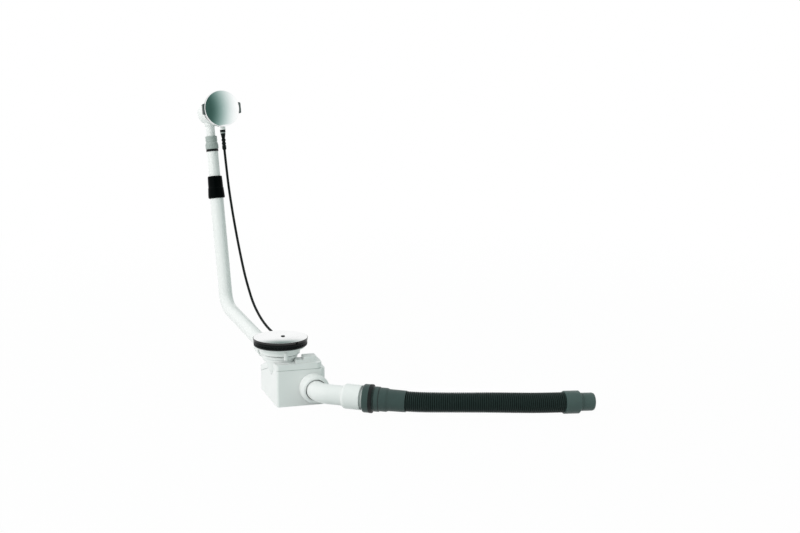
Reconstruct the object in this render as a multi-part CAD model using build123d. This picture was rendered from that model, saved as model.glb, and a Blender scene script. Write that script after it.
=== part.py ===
"""Bath waste and overflow: a turning knob works the plug through a cable.

Millimetres, +Z up. The origin is on the waste axis, on the plane where the gasket grips the bath floor.
The overflow stands behind the waste (+Y) and its knob faces the bath (-Y).
"""

import os
from math import asin, cos, degrees, radians, sin, tan

from build123d import *

os.makedirs("parts", exist_ok=True)

# Fits
FIT = 0.4  # radial room between a round piece and its bore
SLIP = 0.6  # room beside a piece that moves
SCREW_FIT = 0.2  # radial room round a screw
LIFT_GAP = 0.3  # between the plug stem and the lever that lifts it

# Plug, flange and gasket on the waste axis
COVER_R = 56.0
COVER_LIFT = 5.4  # from the gasket up to the cover's rim
COVER_WEB = 3.4
COVER_DOME = 2.6
COVER_HOLE_X = 3.5
COVER_HOLE_Y = -5.5
COVER_HOLE_R = 4.2
PLUG_R = 30.0
PLUG_T = 6.2
STEM_R = 3.0
GASKET_R = 55.0
GASKET_W = 9.4
GASKET_BORE = GASKET_R - GASKET_W
GASKET_TOP = 4.6
GASKET_BOTTOM = -6.4
GASKET_TEETH = 48
SCREW_R = 2.1
SCREW_HEAD_R = 3.9
SCREW_HEAD_H = 2.4
SCREW_L = 24.0

# Inlet neck, with the overflow branch that joins it from behind
NECK_TOP = -3.0
NECK_ROOM = 4.0  # from the plug out to the neck's bore, for the flange's ring
NECK_BORE = PLUG_R + NECK_ROOM
RING_WALL = 5.5
RING_R = NECK_BORE + RING_WALL  # clamp ring under the gasket
RING_LOW = -22.0
THROAT_R = 34.5
FUNNEL_TOP = -29.0
FUNNEL_MID = -55.0
FUNNEL_LOW = -66.0
FUNNEL_WALL = 2.5
DIP_R = 16.4
DIP_END = -112.0
BRANCH_RISE = 9.4
BRANCH_Z = -42.3  # where the branch axis crosses the waste axis
BRANCH_R = 18.6
BRANCH_END = 92.0
BRANCH_NUT_R = 21.8
BRANCH_NUT_L = 28.0

# Lift lever, in an upright plane turned from +X
LEVER_AT = 52.0
PIVOT_Z = -55.0
LEVER_ARM = 17.0
WIRE_ARM = 30.0
LEVER_W = 5.0
TIP_R = 2.6
PIN_R = 2.0

# Control
FLANGE_R = 32.0  # of the overflow, in the bath
FLANGE_RIM = 8.0  # from the flange's edge in to the chamber behind the wall
CHAMBER_R = FLANGE_R - FLANGE_RIM
DRUM_ROOM = 6.0  # from the chamber's outside in to the wire on its drum
DRUM_R = CHAMBER_R - DRUM_ROOM
KNOB_TURN = 60.0
LEVER_SWING = degrees(DRUM_R * radians(KNOB_TURN) / WIRE_ARM)
PLUG_LIFT = 2 * LEVER_ARM * sin(radians(LEVER_SWING / 2))

# Trap box, turned about the waste axis
TRAP_TURN = -9.0
BOX_LEFT = -20.0
BOX_RIGHT = 82.0
BOX_FRONT = -50.0
BOX_REAR = 110.0
BOX_BASE = -124.0
BOX_TOP = -36.0
BOX_DROP = 39.0  # how far the lid slopes down to the rear
SLOPE_Y = -6.0  # the lid is level in front of this
BOX_WALL = 2.5
CORNER_LEFT = 5.5  # upright corners of the box
CORNER_RIGHT = 11.0
CORNER_REAR = 8.0
LID_PLATE = 3.0
LID_BAND = 12.0
LID_WALL = 2.2
LID_PROUD = 0.5
LID_STEP = 7.0  # how far the box stands out beyond the lid on the right
LID_LIP = 4.0  # how far the lid's lip reaches into the box
LID_SEAL = 1.0
WEIR_X = 25.0
WEIR_TOP = -62.0
CAP_X = 52.0
CAP_Y = -30.0
CAP_W = 27.0
CAP_D = 24.0
CAP_SEAT = 6.0
CAP_H = 12.0
BOSS_LEFT = 22.0

# Outlet: collar, nut, elbow, hose socket, hose and end spigot
OUTLET_X = 55.5
OUTLET_Z = -86.5
ELBOW_R = 20.0
ELBOW_BORE = 17.5
ELBOW_CORNER = 48.0
ELBOW_TURN = 57.0
ELBOW_FALL = 1.5
ELBOW_BEND = 42.0
ELBOW_RUN = 104.0  # from the corner to the middle of the socket's seal
COLLAR_L = 20.0
OUTLET_NUT_R = 29.6
OUTLET_NUT_L = 27.0
SLEEVE_R = 25.0
SLEEVE_FROM = 50.0  # from the elbow's corner to the sleeve
SLEEVE_GAP = 4.2  # between the sleeve and the socket
SOCKET_TURN = 5.0  # the elbow stands at this angle in the socket's lip seal
SOCKET_LIP_R = 28.4
SOCKET_R = 24.6
SOCKET_L = 86.0
SOCKET_LIP = 10.0  # from the socket's mouth to the middle of its seal
SOCKET_STEP = 47.0  # from the mouth to the end of the wide body
SOCKET_BAND = 7.0
HOSE_R = 19.0
HOSE_BORE = 16.5
HOSE_GRIP = 28.0
SPIGOT_R = 18.2
HOSE_ROUTE = (
    (232.7, -258.6, -90.5),
    (276.6, -282.5, -90.0),
    (322.5, -302.4, -90.5),
    (369.9, -318.3, -93.0),
    (418.4, -330.4, -96.4),
    (467.6, -339.5, -99.0),
)

# Overflow pipe and head
RISER_LEAN = 12.0
RISER_Y = 410.1  # the riser and knob axes cross at this place
RISER_Z = 429.5
PIPE_R = 14.8
PIPE_WALL = 1.8
PIPE_BEND = 42.0
PIPE_TOP = -168.0  # measured down the riser from the knob axis, as the next four are
SLEEVE_TOP = -140.0
SLEEVE_END = -189.0
UPPER_TOP = -85.0
NUT_TOP = -51.0
UPPER_R = 12.5
UPPER_WALL = 2.1
SPOUT_R = 9.6
SPOUT_WALL = 2.0
NUT_SEAL = 5.0
CHAMBER_WALL = 2.6
CHAMBER_BACK = -15.0
HEAD_R = FLANGE_R - 1.0
HEAD_FACE = 54.0  # out from the riser axis along the knob axis, as the knob's back is
KNOB_BACK = 81.0
KNOB_DEPTH = 9.0
KNOB_FRONT = KNOB_BACK + KNOB_DEPTH
HEAD_GASKET = 5.0
SCREW_EDGE = 5.4  # from the flange's edge in to its screws
HEAD_SCREW = FLANGE_R - SCREW_EDGE
SPINDLE_R = 7.9
DRUM_BACK = 23.0
DRUM_W = 13.0
KNOB_R = 39.5
KNOB_DOME = 7.0
LUG_W = 24.0
LUG_OUT = 4.0

# Cable
GLAND_X = DRUM_R  # the wire leaves the drum straight down
GLAND_END = -41.0
GLAND_R = 6.0
BOSS_OUT = 7.5  # how far the waste's cable boss stands out of the clamp ring
GLAND_DEEP = 7.0  # how far the waste's gland reaches into that boss
CABLE_STRAIGHT = 30.0  # straight cable before the waste's gland
GLAND_HOLD = 12.0  # from the head gland's top down to the sheath's end
GLAND_STRAIGHT = 40.0  # straight cable below that end
SHEATH_R = 2.75
SHEATH_BORE = 1.6
WIRE_R = 0.9
CABLE_ROUTE = (
    (18.8, 358.0, 322.0),
    (22.0, 353.5, 272.0),
    (26.5, 341.5, 210.0),
    (30.5, 320.0, 143.0),
    (33.5, 291.0, 79.0),
    (35.2, 249.0, 27.0),
    (36.0, 203.0, 1.0),
    (37.5, 155.6, -13.5),
    (44.0, 104.0, -22.5),
)

MIN = (Align.CENTER, Align.CENTER, Align.MIN)


def turned(*outline):
    """A solid turned about Z from its (radius, height) outline."""
    return revolve(make_face(Polyline(*[(r, 0, z) for r, z in outline], close=True)), Axis.Z)


def domed(top, *outline):
    """A turned solid whose outline runs from the axis to a rim, closed by one arc from the rim to the axis."""
    r, z = outline[-1]
    big = (r**2 + (top - z) ** 2) / (2 * (top - z))
    middle = (r / 2, 0, top - big + (big**2 - r**2 / 4) ** 0.5)
    sides = Polyline(*[(x, 0, y) for x, y in outline])
    arc = ThreePointArc((r, 0, z), middle, (0, 0, top))
    return revolve(make_face([*sides.edges(), arc, Line((0, 0, top), (0, 0, outline[0][1]))]), Axis.Z)


def rod(r, z0, z1):
    """A round bar on the Z axis."""
    return Pos(0, 0, z0) * Cylinder(r, z1 - z0, align=MIN)


def ring(r_out, r_in, z0, z1):
    """A plain ring on the Z axis."""
    return turned((r_in, z0), (r_out, z0), (r_out, z1), (r_in, z1))


def at_angles(shape, angles):
    """Copies of a shape turned to some angles about Z."""
    return [Rot(0, 0, a) * shape for a in angles]


def around(shape, count):
    """Copies of a shape spaced evenly about Z."""
    return at_angles(shape, [360.0 * i / count for i in range(count)])


def block(x, y, z):
    """A box between two limits on each axis."""
    middle = Pos((x[0] + x[1]) / 2, (y[0] + y[1]) / 2, (z[0] + z[1]) / 2)
    return middle * Box(x[1] - x[0], y[1] - y[0], z[1] - z[0])


def cross_slot(r, width, z, depth):
    """The cutter for a cross recess in a screw head whose top is at z."""
    return Pos(0, 0, z) * (Box(2 * r, width, 2 * depth) + Box(width, 2 * r, 2 * depth))


def route(name, points):
    """Straight runs joined by tangent arcs, each arc as large as its two runs allow."""
    pts = [Vector(*p) for p in points]
    edges, radii, start = [], [], pts[0]
    for a, b, c in zip(pts, pts[1:], pts[2:]):
        back, on = (a - b).normalized(), (c - b).normalized()
        half = radians(180 - back.get_angle(on)) / 2
        reach = 0.45 * min((a - b).length, (c - b).length)
        radius = reach / tan(half)
        centre = b + (back + on).normalized() * (radius / cos(half))
        first, last = b + back * reach, b + on * reach
        middle = centre + (b - centre).normalized() * radius
        edges += [Line(start, first), ThreePointArc(first, middle, last)]
        radii.append(round(radius, 1))
        start = last
    edges.append(Line(start, pts[-1]))
    line = Wire(edges)
    print(name, "length", round(line.length, 1), "arc radii", radii)
    return line


def along(line, radius):
    """A round bar swept along a route."""
    plane = Plane(origin=line @ 0, z_dir=line % 0)
    return sweep(plane * Circle(radius), path=line)


def save(name, shape, frame=None):
    """Writes one node, placed in the shared frame."""
    solids = (frame * shape if frame else shape).solids()
    whole = solids[0] if len(solids) == 1 else Compound(children=list(solids))
    export_step(whole, f"parts/{name}.step")


TRAP = Rot(0, 0, TRAP_TURN)
HEAD = Pos(0, RISER_Y, RISER_Z) * Rot(-RISER_LEAN, 0, 0)  # +Z runs up the riser
FRONT = HEAD * Rot(90, 0, 0)  # +Z runs from the riser out through the knob
BRANCH = Pos(0, 0, BRANCH_Z) * Rot(BRANCH_RISE - 90, 0, 0)  # +Z runs back along the branch
COLLAR = TRAP * Pos(OUTLET_X, BOX_FRONT, OUTLET_Z) * Rot(90, 0, 0)  # +Z runs out of the front wall
ROLL = degrees(asin(sin(radians(ELBOW_FALL)) / sin(radians(ELBOW_TURN))))
SWIVEL = COLLAR * Rot(0, 0, -ROLL)
PIPE_END = SWIVEL * Pos(0, 0, ELBOW_CORNER) * Rot(0, ELBOW_TURN, 0) * Pos(0, 0, ELBOW_RUN)
SOCKET = PIPE_END * Rot(0, SOCKET_TURN, 0)  # +Z runs down the outlet, from the middle of the seal
LEVER = Rot(0, 0, LEVER_AT)  # +X runs out towards the cable
PIN = LEVER * Pos(LEVER_ARM, 0, PIVOT_Z) * Rot(90, 0, 0)
WASTE_CABLE = LEVER * Pos(0, 0, PIVOT_Z + WIRE_ARM) * Rot(0, 90, 0)  # +Z runs out to the cable

# Plug: cover, screw, body with stem, seal
rim = GASKET_TOP + COVER_LIFT
dome = rim + COVER_DOME
plug_top = rim - COVER_WEB
skirt = GASKET_TOP + 0.7
cover = domed(
    dome, (0, plug_top), (COVER_R - 6, plug_top), (COVER_R - 4.5, skirt), (COVER_R - 1.2, skirt),
    (COVER_R, skirt + 0.9), (COVER_R, rim), (COVER_R - 1.2, rim + 0.5),
)
hole = Pos(COVER_HOLE_X, COVER_HOLE_Y, 0)
cover -= hole * rod(COVER_HOLE_R, plug_top - 1, dome + 1)
save("plug_cover", cover)

cover_screw_r = COVER_HOLE_R - 0.6
cover_screw = rod(cover_screw_r, plug_top, plug_top + 1.9) + rod(1.6, plug_top - 4.5, plug_top)
cover_screw -= Pos(0, 0, plug_top + 1.9) * Box(2 * cover_screw_r - 2, 0.9, 1.6)
save("cover_screw", cover_screw, hole)

tip_closed = PIVOT_Z - LEVER_ARM * sin(radians(LEVER_SWING / 2)) + TIP_R
stem_end = tip_closed + LIFT_GAP
seat = plug_top - 4.4
groove = PLUG_R - 2.6
plug = turned(
    (0, plug_top), (PLUG_R, plug_top), (PLUG_R, plug_top - 1.6), (groove, plug_top - 1.6),
    (groove, seat - 0.2), (PLUG_R - 1, seat - 0.2), (PLUG_R - 1, plug_top - PLUG_T),
    (STEM_R + 5, plug_top - PLUG_T), (STEM_R + 2, plug_top - PLUG_T - 3.8),
    (STEM_R, plug_top - PLUG_T - 6.6), (STEM_R, stem_end + 0.87 * STEM_R), (0.8, stem_end), (0, stem_end),
)
plug -= hole * rod(1.6 + SCREW_FIT, plug_top - 4.8, plug_top + 1)
save("plug_body", plug)
save("plug_seal", turned(
    (groove, seat), (PLUG_R + 3, seat), (PLUG_R + 3.6, seat + 0.8), (PLUG_R + 1, seat + 2.6),
    (groove, seat + 2.6),
))

# Flange that sits on the bath floor, with the cross that guides the stem
screw_ring = (NECK_BORE + GASKET_BORE) / 2 - 0.2
screw_angles = (-96, 24, 144)
ring_in, ring_out = PLUG_R + FIT, NECK_BORE - 0.6
collar_in = GASKET_BORE - 0.6
hub_top = plug_top - PLUG_T - 9.4
flange = turned(
    (ring_in, hub_top - 5), (ring_out, hub_top - 5), (ring_out, NECK_TOP), (collar_in, NECK_TOP),
    (collar_in, NECK_TOP + 1.6), (collar_in - 0.8, GASKET_TOP), (GASKET_R - 3, GASKET_TOP),
    (GASKET_R - 4.5, GASKET_TOP + 0.9), (collar_in - 2, GASKET_TOP + 0.9), (NECK_BORE + 4, seat - 1.2),
    (NECK_BORE + 0.5, seat - 1.2), (ring_out, seat), (ring_in, seat),
)
spoke = block((STEM_R + 2, ring_in + 1), (-1.3, 1.3), (hub_top - 5, hub_top))
flange += [ring(STEM_R + 3.4, STEM_R + SLIP, hub_top - 9, hub_top), *at_angles(spoke, (-38, 112, 202, 292))]
screw_at = Pos(screw_ring, 0, 0)
head_low = NECK_TOP + 2.2
screw_room = screw_at * (rod(SCREW_R + SCREW_FIT, -20, 20) + rod(SCREW_HEAD_R + FIT, head_low, 20))
flange -= at_angles(screw_room, screw_angles)
save("waste_flange", flange)

one_screw = rod(SCREW_HEAD_R, head_low, head_low + SCREW_HEAD_H) + rod(SCREW_R, head_low - SCREW_L, head_low)
one_screw -= cross_slot(SCREW_HEAD_R - 0.9, 1.0, head_low + SCREW_HEAD_H, 1.0)
save("flange_screws", Compound(children=at_angles(screw_at * one_screw, screw_angles)))

# Gasket: the bath floor sits in its outer groove, between the teeth
gasket_low, gasket_high = GASKET_BOTTOM + 4.2, GASKET_TOP - 3.6
gasket = turned(
    (GASKET_BORE, GASKET_BOTTOM), (GASKET_R - 2.4, GASKET_BOTTOM), (GASKET_R - 0.5, GASKET_BOTTOM + 1.4),
    (GASKET_R, gasket_low), (GASKET_R - 3.2, gasket_low + 0.2), (GASKET_R - 3.2, gasket_high - 0.2),
    (GASKET_R, gasket_high), (GASKET_R - 0.6, GASKET_TOP), (GASKET_BORE, GASKET_TOP),
)
tooth = block((GASKET_R - 3.8, GASKET_R - 1.0), (-1.9, 1.9), (gasket_low - 0.2, gasket_high + 0.2))
gasket += around(tooth, GASKET_TEETH)
save("waste_gasket", gasket)


def funnel(grow):
    """The funnel and dip tube below the clamp ring, grown by some room."""
    top = DIP_R + 15
    return [
        (THROAT_R + grow, FUNNEL_TOP), (top + grow, FUNNEL_TOP - 4), (DIP_R + 9.6 + grow, FUNNEL_MID),
        (DIP_R + 3.6 + grow, FUNNEL_LOW), (DIP_R + grow, FUNNEL_LOW - 6),
    ]


def branch_outline(grow):
    """The overflow branch of the inlet neck, grown by some room."""
    return turned(
        (0, 18 - grow), (BRANCH_R + 4.4 + grow, 18 - grow), (BRANCH_R + 4.4 + grow, BRANCH_END - 44),
        (BRANCH_R + 1.4 + grow, BRANCH_END - 22), (BRANCH_R + grow, BRANCH_END - 18),
        (BRANCH_R + grow, BRANCH_END + grow), (0, BRANCH_END + grow),
    )


def post(grow):
    """The boss that takes one flange screw, grown by some room."""
    return Pos(screw_ring - 1, 0, 0) * rod(SCREW_R + 2.3 + grow, NECK_TOP - SCREW_L - 2 - grow, RING_LOW + 8)


def cut_room(shape, grow):
    """Leaves room in a trap piece for the neck that drops into it."""
    low = FUNNEL_LOW - 14
    shape -= turned((0, RING_LOW), (THROAT_R + 1 + grow, RING_LOW), *funnel(grow), (DIP_R + grow, low), (0, low))
    shape -= TRAP.inverse() * BRANCH * branch_outline(grow)
    return shape - [TRAP.inverse() * p for p in at_angles(post(grow), screw_angles)]


# Inlet neck: clamp ring, funnel, dip tube, overflow branch, screw posts, cable boss and lever ears
clamp_r = GASKET_R - 5
neck = turned(
    (0, NECK_TOP), (GASKET_BORE - 1.6, NECK_TOP), (GASKET_BORE - 1.6, GASKET_BOTTOM),
    (clamp_r, GASKET_BOTTOM), (clamp_r, GASKET_BOTTOM - 3), (clamp_r - 3.5, GASKET_BOTTOM - 4.6),
    (RING_R + 1.5, GASKET_BOTTOM - 6), (RING_R, GASKET_BOTTOM - 8), (RING_R, RING_LOW),
    (THROAT_R, RING_LOW), *funnel(0), (DIP_R, DIP_END), (0, DIP_END),
)
wall = FUNNEL_WALL
neck += BRANCH * branch_outline(0)
neck += at_angles(post(0), screw_angles)
boss_end = RING_R + BOSS_OUT
neck += WASTE_CABLE * rod(GLAND_R + 0.5, NECK_BORE - 3, boss_end)
neck -= turned(
    (0, 0), (NECK_BORE, 0), (NECK_BORE, RING_LOW + 5), (THROAT_R - 3, RING_LOW + 2.5),
    (THROAT_R - 3, FUNNEL_TOP + wall), (DIP_R + 15 - wall, FUNNEL_TOP - 4.4),
    (DIP_R + 9.6 - wall, FUNNEL_MID - 0.4), (DIP_R + 3.6 - wall, FUNNEL_LOW - 0.6),
    (DIP_R - wall, FUNNEL_LOW - 6.6), (DIP_R - wall, DIP_END - 5), (0, DIP_END - 5),
)
neck -= BRANCH * rod(PIPE_R - PIPE_WALL, 14, BRANCH_END - 20)
neck -= BRANCH * rod(PIPE_R + FIT, BRANCH_END - 34, BRANCH_END + 8)
neck -= at_angles(screw_at * rod(SCREW_R + SCREW_FIT, head_low - SCREW_L - 0.4, 0), screw_angles)
gland_in = boss_end - GLAND_DEEP
neck -= WASTE_CABLE * rod(SHEATH_BORE, NECK_BORE - 8, boss_end + 3)
neck -= WASTE_CABLE * rod(SHEATH_R + FIT, gland_in, boss_end + 3)
gap = LEVER_W / 2 + 1.0
for side in (-1, 1):
    ear = block(
        (LEVER_ARM - PIN_R - 1.6, DIP_R + 9), (side * (gap + 3) - 3, side * (gap + 3) + 3),
        (PIVOT_Z - PIN_R - 1.6, PIVOT_Z + PIN_R + 1.6),
    )
    neck += LEVER * ear & turned((0, FUNNEL_TOP), *funnel(-0.6), (0, FUNNEL_LOW - 6))
neck -= PIN * rod(PIN_R + 0.1, -gap - 2, gap + 2)
save("inlet_neck", neck)
save("lever_pin", rod(PIN_R, -gap - 2, gap + 2), PIN)

# Bell crank: the wire pulls its upright arm and its level arm lifts the stem
half = LEVER_W / 2
crank = rod(PIN_R + 2.4, -half, half)
crank += block((-LEVER_ARM, 0), (-1.8, 1.5), (-half, half)) + Pos(-LEVER_ARM, 0, 0) * rod(TIP_R, -half, half)
crank += block((-2.4, 2.4), (0, WIRE_ARM), (-half, half)) + Pos(0, WIRE_ARM, 0) * rod(2.8, -half, half)
crank -= rod(PIN_R + FIT, -9, 9)
crank -= Pos(0, WIRE_ARM, 0) * rod(WIRE_R + FIT, -9, 9)
save("lift_lever", crank, PIN * Rot(0, 0, LEVER_SWING / 2))

# Trap box: open at the top, with a weir that keeps the water seal
slope = BOX_DROP / (BOX_REAR - SLOPE_Y)
width = BOX_RIGHT - BOX_LEFT


def box_form(grow, low, high, right=BOX_RIGHT):
    """The rounded box grown sideways, from a level or sloping low edge up to a sloping high edge."""
    front, rear, drop = BOX_FRONT - grow, BOX_REAR + grow, BOX_DROP + slope * grow
    plan = Rectangle(right - BOX_LEFT + 2 * grow, rear - front)
    plan = Pos((BOX_LEFT + right) / 2, (front + rear) / 2) * plan
    corners = ((0, 0, CORNER_LEFT), (0, -1, CORNER_RIGHT), (-1, 0, CORNER_REAR), (-1, -1, CORNER_REAR))
    for end, side, radius in corners:
        corner_point = plan.vertices().group_by(Axis.Y)[end].sort_by(Axis.X)[side]
        plan = fillet(corner_point, radius + grow)
    bottom = [(front, low), (rear, low)]
    if low > BOX_BASE + BOX_WALL:
        bottom = [(front, low), (SLOPE_Y, low), (rear, low - drop)]
    side_face = make_face(Polyline(*bottom, (rear, high - drop), (SLOPE_Y, high), (front, high), close=True))
    side_form = extrude(Plane.YZ * side_face, 2 * width, both=True)
    return Pos(0, 0, BOX_BASE - 1) * extrude(plan, -BOX_BASE) & side_form


lid_low = BOX_TOP - LID_BAND
body_top = lid_low - LID_SEAL
lid_right = BOX_RIGHT - LID_STEP
body = box_form(0, BOX_BASE, body_top) - box_form(-BOX_WALL, BOX_BASE + BOX_WALL, body_top - BOX_WALL)
body -= box_form(-BOX_WALL, BOX_BASE + BOX_WALL, BOX_TOP, lid_right)
weir = block((WEIR_X - 1.2, WEIR_X + 1.2), (BOX_FRONT + 1, BOX_REAR - 1), (BOX_BASE + 1, WEIR_TOP))
body += weir & box_form(-1, BOX_BASE, body_top - LID_LIP - 2)
collar_r = ELBOW_R + 3.5
body += TRAP.inverse() * COLLAR * rod(collar_r, -1, COLLAR_L)
body -= TRAP.inverse() * COLLAR * rod(ELBOW_R + 0.6, -BOX_WALL - 1, COLLAR_L + 1)
save("trap_body", cut_room(body, 0.6), TRAP)

# Lid: level in front and sloping behind, a deep cap whose walls carry on those of the box, with a cleaning cap
lid = box_form(LID_PROUD, lid_low, BOX_TOP, lid_right)
lid -= box_form(-LID_WALL, lid_low - 1, BOX_TOP - LID_PLATE, lid_right)
lip_out = -BOX_WALL - FIT
lip_room = box_form(lip_out - 1.6, lid_low - LID_LIP - 1, lid_low + 3, lid_right)
lid += box_form(lip_out, lid_low - LID_LIP, lid_low + 2, lid_right) - lip_room
lid += box_form(-LID_WALL + 0.4, lid_low, lid_low + 2, lid_right) - lip_room
cap_at = Pos(CAP_X, CAP_Y, BOX_TOP)
half_w, half_d = CAP_W / 2, CAP_D / 2
lid += cap_at * block((BOSS_LEFT - CAP_X, half_w - 1), (1 - half_d, half_d - 1), (-0.5, CAP_SEAT))
lid -= cap_at * block((4 - half_w, half_w - 4), (4 - half_d, half_d - 4), (-8, CAP_SEAT + 1))
save("trap_lid", cut_room(lid, 0.7), TRAP)
lid_seal = box_form(-0.5, body_top, lid_low, lid_right)
lid_seal -= box_form(-BOX_WALL, body_top - 1, lid_low + 1, lid_right)
save("lid_seal", cut_room(lid_seal, 1.0), TRAP)

plug_w, plug_d = half_w - 4 - FIT, half_d - 4 - FIT
cap = block((-half_w, half_w), (-half_d, half_d), (CAP_SEAT, CAP_H))
cap = fillet(cap.edges().filter_by(Axis.Z), 3.0)
cap = fillet(cap.faces().sort_by(Axis.Z)[-1].edges(), 1.2)
cap += block((-plug_w, plug_w), (-plug_d, plug_d), (-3, CAP_SEAT + 0.5))
cap -= block((1.8 - plug_w, plug_w - 1.8), (1.8 - plug_d, plug_d - 1.8), (-4, CAP_H - 2.5))
cap -= Pos(half_w, 0, CAP_SEAT) * Box(4, 9, 3)
save("cleaning_cap", cap, TRAP * cap_at)

# Outlet nut, seal, elbow
nut_in = collar_r + FIT
seal_end = COLLAR_L + 3.6
save("outlet_nut", turned(
    (nut_in, 0.6), (OUTLET_NUT_R - 1, 0.6), (OUTLET_NUT_R, 2), (OUTLET_NUT_R, OUTLET_NUT_L - 9),
    (OUTLET_NUT_R - 1.2, OUTLET_NUT_L - 4), (OUTLET_NUT_R - 4, OUTLET_NUT_L - 0.6),
    (OUTLET_NUT_R - 6, OUTLET_NUT_L), (ELBOW_R + 1.8, OUTLET_NUT_L), (ELBOW_R + 1.2, seal_end),
    (nut_in, seal_end),
), COLLAR)
save("outlet_seal", turned(
    (ELBOW_R + 0.35, COLLAR_L), (collar_r - 0.1, COLLAR_L), (collar_r - 0.1, seal_end),
    (ELBOW_R + 1.8, seal_end), (ELBOW_R + 0.35, seal_end - 1.2),
), COLLAR)

corner = Vector(0, 0, ELBOW_CORNER)
run = Vector(sin(radians(ELBOW_TURN)), 0, cos(radians(ELBOW_TURN)))
pipe_far = ELBOW_RUN + 14
line = FilletPolyline((0, 0, 4), corner, corner + run * pipe_far, radius=ELBOW_BEND)
bore = FilletPolyline((0, 0, 3), corner, corner + run * (pipe_far + 1), radius=ELBOW_BEND)
elbow = sweep(Plane((0, 0, 4)) * Circle(ELBOW_R), path=line)
sleeve_from, sleeve_end = SLEEVE_FROM - ELBOW_RUN, -SOCKET_LIP - SLEEVE_GAP
elbow += SWIVEL.inverse() * PIPE_END * turned(
    (ELBOW_R - 1, sleeve_from), (SLEEVE_R - 3, sleeve_from + 2), (SLEEVE_R, sleeve_from + 7),
    (SLEEVE_R, sleeve_end - 0.8), (SLEEVE_R - 0.8, sleeve_end), (ELBOW_R - 1, sleeve_end),
)
elbow -= sweep(Plane((0, 0, 3)) * Circle(ELBOW_BORE), path=bore)
save("outlet_elbow", elbow, SWIVEL)

# Hose socket: lip seal in front, stepped body, grip for the hose
lip = -SOCKET_LIP
bore_r = ELBOW_R + 2.0
stop = SOCKET_L - HOSE_GRIP
band = 13.0  # from the lip to the band round the collar
band_end = band + SOCKET_BAND
save("hose_socket", turned(
    (ELBOW_R + 2.6, lip), (SOCKET_LIP_R - 1.6, lip), (SOCKET_LIP_R, lip + 2.4), (SOCKET_LIP_R, lip + band),
    (SOCKET_R + 0.6, lip + band), (SOCKET_R + 0.6, lip + band_end), (SOCKET_R - 0.6, lip + band_end + 0.6),
    (SOCKET_R - 0.6, lip + band_end + 3), (SOCKET_R + 0.5, lip + band_end + 4),
    (SOCKET_R + 0.5, lip + band_end + 12), (SOCKET_R - 0.8, lip + band_end + 14),
    (SOCKET_R - 0.8, lip + SOCKET_STEP), (HOSE_R + 3, lip + SOCKET_STEP + 5),
    (HOSE_R + 2.4, lip + SOCKET_L), (HOSE_R + FIT, lip + SOCKET_L), (HOSE_R + FIT, lip + stop),
    (HOSE_BORE, lip + stop), (HOSE_BORE, lip + stop - 8), (bore_r, lip + SOCKET_STEP - 3),
    (bore_r, lip + band + 0.5), (SOCKET_LIP_R - 4, lip + band), (SOCKET_LIP_R - 4, lip + 7), (ELBOW_R + 2.6, lip + 7),
), SOCKET)
save("socket_band", turned(
    (SOCKET_R + 0.6, lip + band), (SOCKET_LIP_R + 0.2, lip + band), (SOCKET_LIP_R + 0.4, lip + band + 1),
    (SOCKET_LIP_R + 0.4, lip + band_end - 1.5), (SOCKET_LIP_R - 1, lip + band_end),
    (SOCKET_R + 0.6, lip + band_end),
), SOCKET)
save("socket_seal", turned(
    (ELBOW_R + 1.6, lip + 7), (SOCKET_LIP_R - 4.3, lip + 7), (SOCKET_LIP_R - 4.3, lip + band),
    (ELBOW_R + 2.2, lip + band), (ELBOW_R + 0.7, lip + 11), (ELBOW_R + 0.7, lip + 9),
), SOCKET)

hose_start = (SOCKET * Pos(0, 0, lip + stop)).position
hose_bend = (SOCKET * Pos(0, 0, lip + SOCKET_L + 16)).position
hose_line = route("drain hose", [tuple(hose_start), tuple(hose_bend), *HOSE_ROUTE])
save("drain_hose", along(hose_line, HOSE_R) - along(hose_line, HOSE_BORE))

END = Location(Plane(origin=hose_line @ 1, z_dir=hose_line % 1))
save("hose_end_spigot", turned(
    (HOSE_BORE - 0.5, 0), (HOSE_R + 3.2, 0), (HOSE_R + 4, 1), (HOSE_R + 4, 31), (HOSE_R + 3.2, 32),
    (SPIGOT_R + 0.4, 32.6), (SPIGOT_R - 0.8, 34), (SPIGOT_R - 0.8, 37), (SPIGOT_R, 38.5), (SPIGOT_R, 60),
    (SPIGOT_R - 1, 63), (SPIGOT_R - 2.6, 63), (SPIGOT_R - 2.6, 4),
), END)

# Overflow branch nut and seal, lower pipe with its bend
nut_low = BRANCH_END - 16
nut_high = nut_low + BRANCH_NUT_L
branch_nut = turned(
    (BRANCH_R + FIT, nut_low), (BRANCH_NUT_R - 0.8, nut_low), (BRANCH_NUT_R, nut_low + 1),
    (BRANCH_NUT_R, nut_high - 6), (BRANCH_NUT_R - 1.8, nut_high), (PIPE_R + 0.8, nut_high),
    (PIPE_R + 0.8, nut_high - 4), (BRANCH_R + FIT, nut_high - 6),
)
branch_nut += around(Pos(BRANCH_NUT_R, 0, 0) * rod(1.0, nut_low + 1.5, nut_high - 7), 16)
save("branch_nut", branch_nut, BRANCH)
save("branch_seal", turned(
    (PIPE_R + 0.35, BRANCH_END), (BRANCH_R - 0.2, BRANCH_END), (BRANCH_R - 0.2, nut_high - 6.5),
    (PIPE_R + 0.35, nut_high - 8),
), BRANCH)

lean, rise = radians(RISER_LEAN), radians(BRANCH_RISE)
pipe_corner = (RISER_Y * cos(lean) - (RISER_Z - BRANCH_Z) * sin(lean)) / cos(lean + rise)
low_end = (BRANCH * Pos(0, 0, BRANCH_END - 20)).position
bend_at = (BRANCH * Pos(0, 0, pipe_corner)).position
top_end = (HEAD * Pos(0, 0, PIPE_TOP)).position
pipe_line = FilletPolyline(low_end, bend_at, top_end, radius=PIPE_BEND)
save("lower_overflow_pipe", along(pipe_line, PIPE_R) - along(pipe_line, PIPE_R - PIPE_WALL))

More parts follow.
